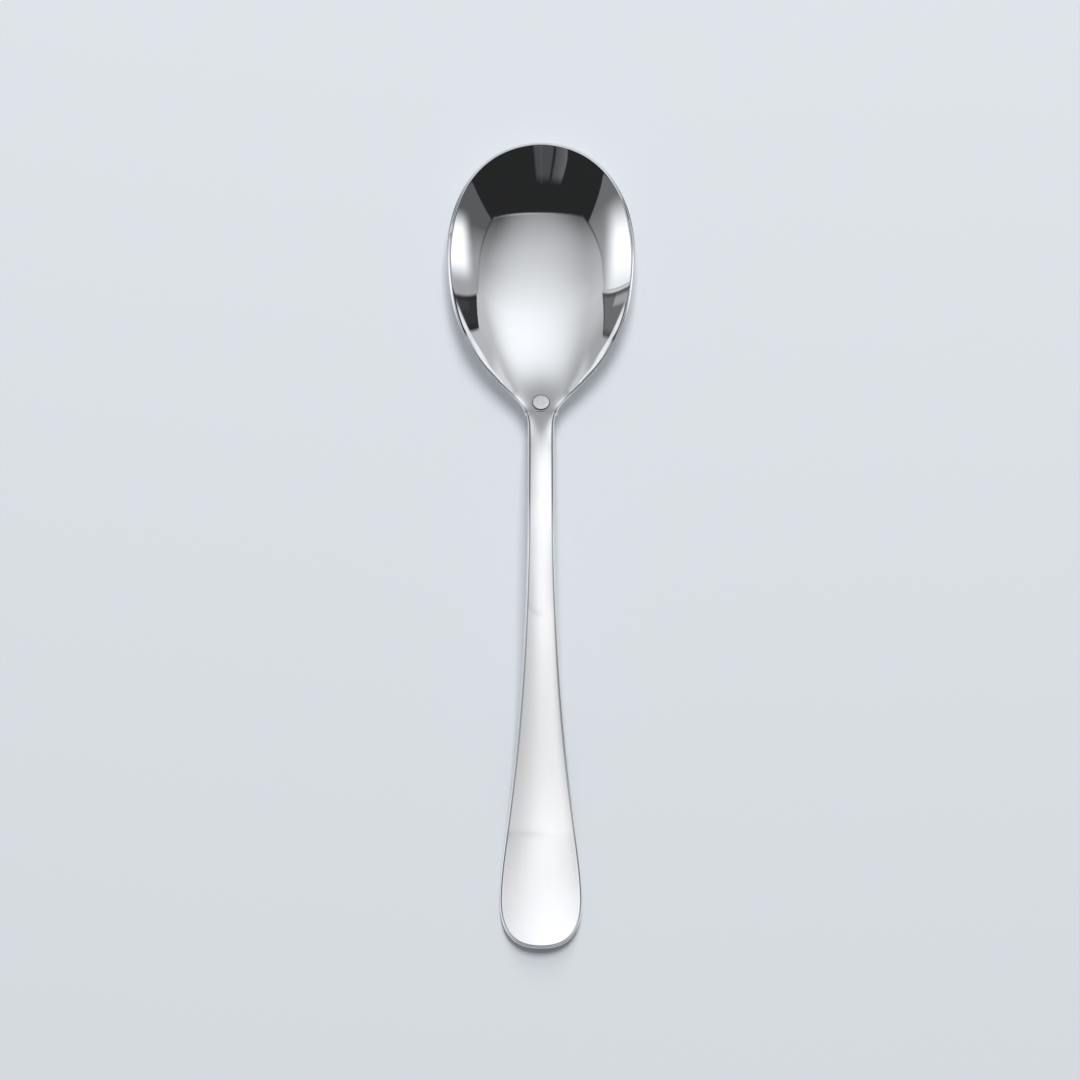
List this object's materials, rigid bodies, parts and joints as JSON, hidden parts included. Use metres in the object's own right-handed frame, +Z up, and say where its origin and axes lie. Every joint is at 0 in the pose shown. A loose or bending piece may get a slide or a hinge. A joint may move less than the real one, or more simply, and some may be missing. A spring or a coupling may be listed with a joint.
{
  "type": "dessert spoon",
  "caption": "Dessert spoon in mirror-polished steel: an egg-shaped pressed bowl riveted at the neck to an arched handle that flares to a rounded end.",
  "frame": {"origin": "on the table the spoon lies on, under the middle of its bounding box", "axes": "+Z up from the table, +Y from the handle's end to the bowl's tip, X across the spoon, which is symmetric about X = 0"},
  "size_m": [0.0424, 0.182, 0.0139],
  "materials": {
    "mirror_steel": "mirror-polished stainless steel",
    "satin_steel": "satin stainless steel"
  },
  "bodies": {
    "root": {"bowl": "mirror_steel", "handle": "mirror_steel", "rivet": "satin_steel"}
  },
  "joints": []
}
